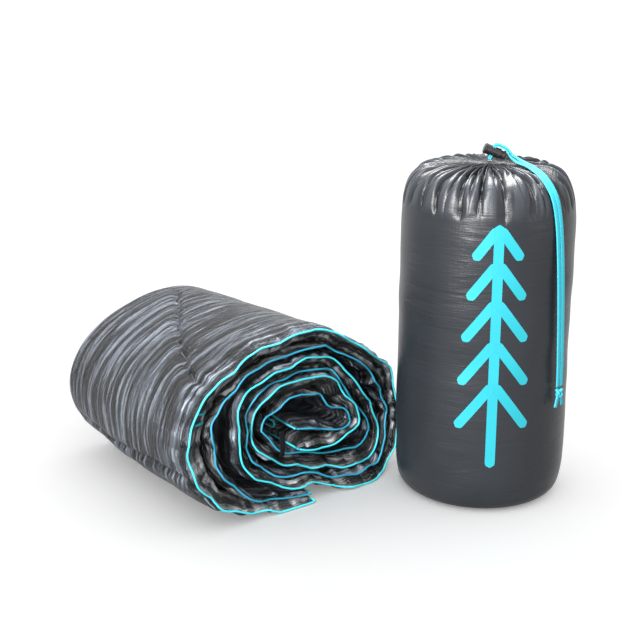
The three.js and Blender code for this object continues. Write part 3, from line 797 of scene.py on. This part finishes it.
def sack_point(angle, radius, height):
    """A point of the sack's cloth, in the sack's own axes."""
    gather, _ = gathers(angle, radius, height)
    a = angle / (2 * math.pi)
    swell = 1.5 * waves(a * 6, height / 90, 41, 6) + 0.7 * waves(a * 14, height / 30, 42, 14)
    swell = swell * smooth(height, 8, 40) * (1 - smooth(height, 340, 380))
    crown = smooth(height, 340, 385)
    r = radius + swell + gather * (1 - crown)
    z = height + gather * crown
    return np.stack([r * np.cos(angle), r * np.sin(angle), z], -1)


CLOTH = 0.9  # the mouth's inside lies this far inside its outside
MOUTH_RADIUS = 3.5
# The mouth's turned-in cloth is painted in shade.
INSIDE_PAINTED_SHADE = 0.1
INSIDE_STEP = 6  # of the profile's steps, from one point of the inside to the next
turned_in = profile[: UPWARDS // 2 : -INSIDE_STEP]  # the profile's upper half, from the mouth back
outside = [sack_point(turn, r, z) for r, z in profile]
inside = [sack_point(turn, max(r - CLOTH, MOUTH_RADIUS), z - CLOTH) for r, z in turned_in]
sack_rows = [sack_place(q) for q in outside + inside]
inside_run = profile_length + np.linspace(1, 200, len(inside))
run = np.concatenate([np.linspace(0, profile_length, len(outside)), inside_run])
sack_uv = grid_uv(turn[None, :] * SACK_RADIUS, run[:, None])
# Painted shade and highlights over the gathers, and painted shade inside the mouth.
outside_shade = [0.5 + 0.45 * gathers(turn, r, z)[1] for r, z in profile]
sack_shade = np.concatenate(outside_shade + [np.full(AROUND, INSIDE_PAINTED_SHADE)] * len(inside))
faces = closed_faces(len(sack_rows), AROUND)
sack = mesh_object("sack", np.concatenate(sack_rows), faces, SACK_CLOTH, sack_uv, sack_shade)
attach(sack, "sack")
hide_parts("sack_wall", "sack_base_panel", "packed_blanket", "sack_hem_channel", "drawcord_in_hem")


# ---- The print on the sack ----
BASE_HEIGHT = 12  # the wall begins here


def wall_radius(height):
    """The sack's radius at a height on its wall."""
    wall = profile[profile[:, 1] > BASE_HEIGHT]
    return np.interp(height, wall[:, 1], wall[:, 0])


def wall_patch(name, pairs, material, lift=0.5):
    """A thin print on the sack's wall. Each pair is a stroke's two sides, as (across, height) points."""
    vertices, faces = [], []
    for first, second in pairs:
        faces += pair_faces(len(vertices), len(first))
        for across, height in (place for both in zip(first, second) for place in both):
            angle = np.array([across / SACK_RADIUS + 1.5 * math.pi])
            vertices.append(sack_point(angle, wall_radius(height) + lift, np.array([height]))[0])
    made = mesh_object(name, sack_place(vertices), faces, material, np.zeros((len(vertices), 2)))
    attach(made, "sack")


INK = 11.5  # the strokes' width
TRUNK = [(0, 60), (0, 348)]
BRANCHES = [(344, 36, 27), (304, 42, 32), (260, 47, 36), (212, 51, 39), (162, 54, 41)]  # top, drop, reach
strokes = [stroke(TRUNK, INK)]
for top, drop, reach in BRANCHES:
    for side in (-1, 1):
        strokes.append(stroke([(0.8 * side, top), (reach * side, top - drop)], INK))
wall_patch("sack_emblem", strokes, PRINT_INK)

# ---- The drawcord ----
through_lock = np.array([math.sin(LOCK_TILT), 0, math.cos(LOCK_TILT)])
straight = [(*(LOCK_AT + through_lock * d), 90) for d in (-10.1, -3, 3, 6.3)]  # from the mouth up
PER_PIECE = 10
cord_path = catmull([np.array(q, float) for q in straight + CORD_LINE], PER_PIECE)


def cord_stops(side):
    """Where one of the two runs of cord goes: one over the other through the lock, then side by side."""
    at, angle = cord_path[:, :3], np.radians(cord_path[:, 3])
    along = unit_rows(np.gradient(at, axis=0))
    wide = np.stack([np.cos(angle), np.sin(angle), 0 * angle], 1)
    thick = unit_rows(np.cross(along, wide))
    wide = np.cross(thick, along)
    s = np.arange(len(at)) / PER_PIECE
    spread, flat = smooth(s, 7.5, 10.5)[:, None], smooth(s, 10.5, 13)[:, None]
    at = at + thick * side * (1 - flat) * (CORD_THICK + CORD_GAP) / 2
    at = at + wide * side * spread * (CORD_WIDTH + CORD_GAP) / 2
    return [(sack_place(p), sack_direction(w), sack_direction(t)) for p, w, t in zip(at, wide, thick)]


for side, name in ((-1, "left"), (1, "right")):
    stops = cord_stops(side)
    run = strip("cord_" + name, stops, CORD_WIDTH, CORD_THICK, CORD_TRIM, "sack")
    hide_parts("drawcord_" + name)
    path = [((p + OFFSET) * MM).tolist() for p, _, _ in stops]

KNOT_AT = np.array([81.2, -75.4, 143])
KNOT_TURN = math.radians(45)
KNOT_CORD = 1.95
TAIL_WIDTH = 5.2
TAIL_THICK = 2.0
TAIL_SPREAD = math.radians(17)


def knot_frame(points):
    """From the knot's own axes to the sack's, still round the knot's middle."""
    c, s = math.cos(KNOT_TURN), math.sin(KNOT_TURN)
    return points @ np.array([[c, -s, 0], [s, c, 0], [0, 0, 1]]).T


def knot_line():
    """A trefoil."""
    t = np.linspace(0, 2 * math.pi, 73)
    across = (np.sin(t) + 2 * np.sin(2 * t)) * 1.45
    return np.stack([across, np.sin(3 * t) * 1.7, (np.cos(t) - 2 * np.cos(2 * t)) * 1.5], 1)


def tail_stop(side, drop):
    """Where a cut end of the cord is, a distance down from the knot."""
    lean = TAIL_SPREAD * side
    local = np.array([math.sin(lean) * drop + 1.4 * side, 0.25 * side, -math.cos(lean) * drop])
    wide = knot_frame(np.array([math.cos(lean), 0, math.sin(lean)]))
    thick = knot_frame(np.array([0, 1.0, 0]))
    return sack_place(knot_frame(local) + KNOT_AT), sack_direction(wide), sack_direction(thick)


knot = tube("cord_knot", sack_place(knot_frame(knot_line()) + KNOT_AT), KNOT_CORD, CORD_TRIM, 12)
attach(knot, "sack")
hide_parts("drawcord_knot")
for side, name in ((-1, "left"), (1, "right")):
    stops = [tail_stop(side, 1 + 2.1 * k) for k in range(9)]
    tail = strip("cord_tail_" + name, stops, TAIL_WIDTH, TAIL_THICK, CORD_TRIM, "sack")

# ---- The cord lock ----
SHARP_ANGLE = math.radians(38)  # edges that turn by more than this stay sharp
LOCK_MATERIALS = {"cord_lock_barrel": PLASTIC, "cord_lock_plunger": PLASTIC, "cord_lock_spring": STEEL}
for node, material in LOCK_MATERIALS.items():
    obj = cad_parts[node]
    obj.data.materials.clear()
    obj.data.materials.append(material)
    obj.data.shade_smooth()
    obj.data.set_sharp_from_angle(angle=SHARP_ANGLE)

# A copy of the CAD's coil stands in for its node.
cad_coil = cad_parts["cord_lock_spring"]
coil_mesh = cad_coil.data.copy()
coil_mesh.transform(cad_coil.matrix_world)
coil = bpy.data.objects.new("lock_coil", coil_mesh)
bpy.context.scene.collection.objects.link(coil)
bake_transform(coil)
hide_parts("cord_lock_spring")

# ---- Stage ----
scene = bpy.context.scene
WHITE = (1, 1, 1, 1)
FLOOR_AT = -0.0006  # metres: just under the CAD's lowest point
FLOOR_GREY = 0.92
FLOOR_GLOW = 0.2
ROOM_LIGHT = 1.02


def floor_material():
    """A matt white that glows a little."""
    s = Shader("white_floor", (FLOOR_GREY,) * 3, 1.0, Specular_IOR_Level=0.0)
    s.out.inputs["Emission Color"].default_value = WHITE
    s.out.inputs["Emission Strength"].default_value = FLOOR_GLOW
    return s.material


bpy.ops.mesh.primitive_plane_add(size=30, location=(0, 0, FLOOR_AT))
floor = bpy.context.object
floor.name = "floor"
floor.data.materials.append(floor_material())

world = bpy.data.worlds.new("studio")
scene.world = world
world.use_nodes = True
background = world.node_tree.nodes["Background"]
background.inputs["Color"].default_value = WHITE
background.inputs["Strength"].default_value = ROOM_LIGHT

# The lamps light everything but the floor, which has only the room's light and its own.
all_but_floor = bpy.data.collections.new("all_but_floor")
all_but_floor.objects.link(floor)
all_but_floor.collection_objects[0].light_linking.link_state = "EXCLUDE"


def softbox(name, place, look_at, size, power):
    """A rectangular lamp of size metres that looks at a point."""
    light = bpy.data.lights.new(name, "AREA")
    light.shape = "RECTANGLE"
    light.size, light.size_y = size
    light.energy = power
    obj = bpy.data.objects.new(name, light)
    scene.collection.objects.link(obj)
    obj.location = place
    obj.rotation_euler = (Vector(look_at) - Vector(place)).to_track_quat("-Z", "Y").to_euler()
    obj.light_linking.receiver_collection = all_but_floor


# The camera: its place from the origin of the CAD's layout, its direction and its lens.
CAMERA_AT = (OFFSET + np.array([-842.3, -1130.8, 668])) * MM
HEADING = 0.651
PITCH = 0.306
LENS = 71.55
right = np.array([math.cos(HEADING), -math.sin(HEADING), 0])
away = np.array([math.sin(HEADING), math.cos(HEADING), 0])


def studio(across, back, height):
    """A place by the camera's directions: metres to the right of, behind and above the frame's origin."""
    return Vector(right * across + away * back + np.array([0, 0, height]))


# Name, place in studio(), the height that it looks at over the middle, size and power in watts.
LAMPS = [
    ("key", (-0.85, -1.6, 1.1), 0.2, (0.25, 1.5), 190),
    ("sparkle", (-0.3, -1.1, 1.9), 0.1, (0.16, 0.16), 24),
    ("top", (0.1, 0.5, 1.9), 0.1, (1.2, 0.9), 165),
    ("front", (0.0, -1.9, 0.75), 0.12, (0.4, 0.4), 26),
    ("fill", (1.5, -0.8, 0.9), 0.15, (0.4, 1.4), 6),
]
for name, place, height, size, power in LAMPS:
    softbox(name, studio(*place), (0, 0, height), size, power)

camera_data = bpy.data.cameras.new("camera")
camera_data.lens = LENS
camera_data.sensor_width = 36
camera = bpy.data.objects.new("camera", camera_data)
scene.collection.objects.link(camera)
camera.location = Vector(CAMERA_AT)
view = Vector(away * math.cos(PITCH) - np.array([0, 0, math.sin(PITCH)]))
camera.rotation_euler = view.to_track_quat("-Z", "Y").to_euler()
scene.camera = camera

scene.view_settings.view_transform = "Standard"
scene.view_settings.look = "None"
scene.view_settings.exposure = 0.0
